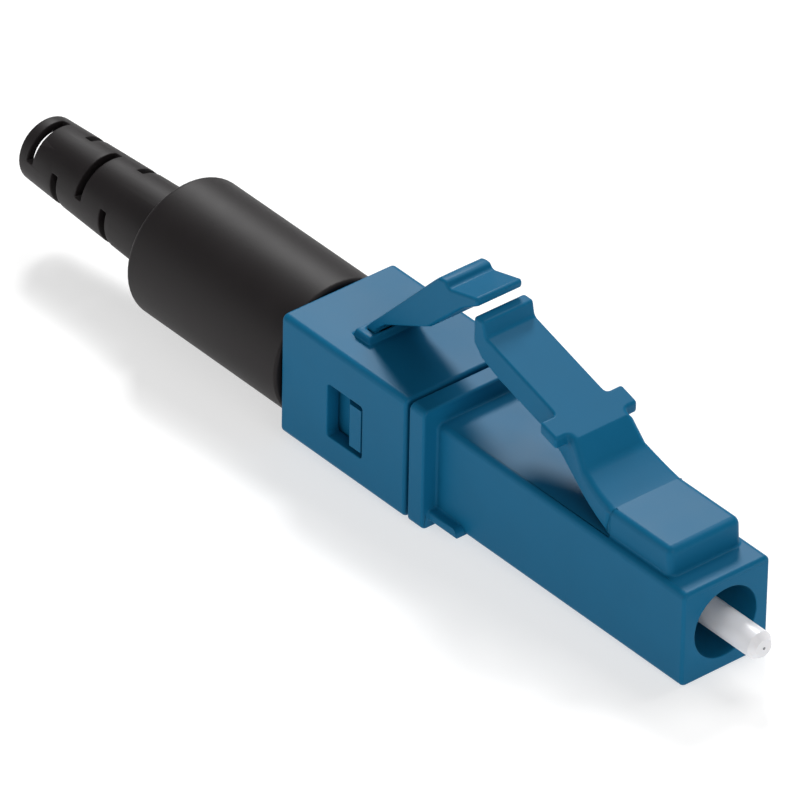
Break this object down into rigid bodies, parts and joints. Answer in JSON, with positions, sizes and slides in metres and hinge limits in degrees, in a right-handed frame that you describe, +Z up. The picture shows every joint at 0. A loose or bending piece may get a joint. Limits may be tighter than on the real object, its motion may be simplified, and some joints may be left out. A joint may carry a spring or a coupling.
{
  "type": "field-installable fibre connector",
  "caption": "Small square optical plug with a spring latch, a trigger clip and a slotted strain relief boot; a white ferrule leads to a mechanical splice inside.",
  "frame": {"origin": "centre of the plug housing's front face, on the ferrule's axis", "axes": "+X forward along the ferrule, +Z up towards the latch, +Y to the left"},
  "size_m": [0.0456, 0.0064, 0.0116],
  "materials": {
    "blue_plastic": "satin moulded blue",
    "black_elastomer": "satin moulded black",
    "white_ceramic": "ground white ceramic",
    "plated_brass": "nickel plated",
    "fibre_glass": "clear",
    "natural_plastic": "natural moulded",
    "clear_plastic": "clear moulded",
    "spring_steel": "drawn wire"
  },
  "bodies": {
    "shell": {"front_housing": "blue_plastic", "trigger_clip": "blue_plastic", "rear_body": "blue_plastic", "boot": "black_elastomer", "return_spring": "spring_steel", "buffer_collet": "natural_plastic", "crimp_sleeve": "plated_brass"},
    "latch": {"latch_lever": "blue_plastic"},
    "trigger": {"trigger_lever": "blue_plastic"},
    "carriage": {"ferrule": "white_ceramic", "ferrule_barrel": "plated_brass", "fibre_stub": "fibre_glass", "splice_holder": "natural_plastic", "splice_base": "clear_plastic", "lead_in_tube": "natural_plastic"},
    "cam": {"cam_sleeve": "natural_plastic"},
    "keel": {"splice_keel": "clear_plastic"}
  },
  "joints": [
    {"name": "trigger_press", "type": "hinge", "parent": "shell", "child": "trigger", "pos_m": [-0.0206, 0, 0.00343], "axis": [0, 1, 0], "range_deg": [0, 10], "stiffness_Nm_per_rad": 0.2},
    {"name": "latch_press", "type": "hinge", "parent": "shell", "child": "latch", "pos_m": [-0.0049, 0, 0.0029], "axis": [0, -1, 0], "range_deg": [0, 9.5]},
    {"name": "ferrule_float", "type": "slide", "parent": "shell", "child": "carriage", "axis": [-1, 0, 0], "range_m": [0, 0.0008], "stiffness_N_per_m": 1500, "deforming": ["return_spring"]},
    {"name": "cam_turn", "type": "hinge", "parent": "carriage", "child": "cam", "pos_m": [-0.019, 0, 0], "axis": [1, 0, 0], "range_deg": [0, 90]},
    {"name": "keel_close", "type": "slide", "parent": "carriage", "child": "keel", "axis": [0, 0, -1], "range_m": [0, 0.00012]}
  ],
  "couplings": [
    {"joint": "latch_press", "follows": "trigger_press", "ratio": 0.95},
    {"joint": "cam_turn", "follows": "keel_close", "rad_per_m": 13080}
  ]
}
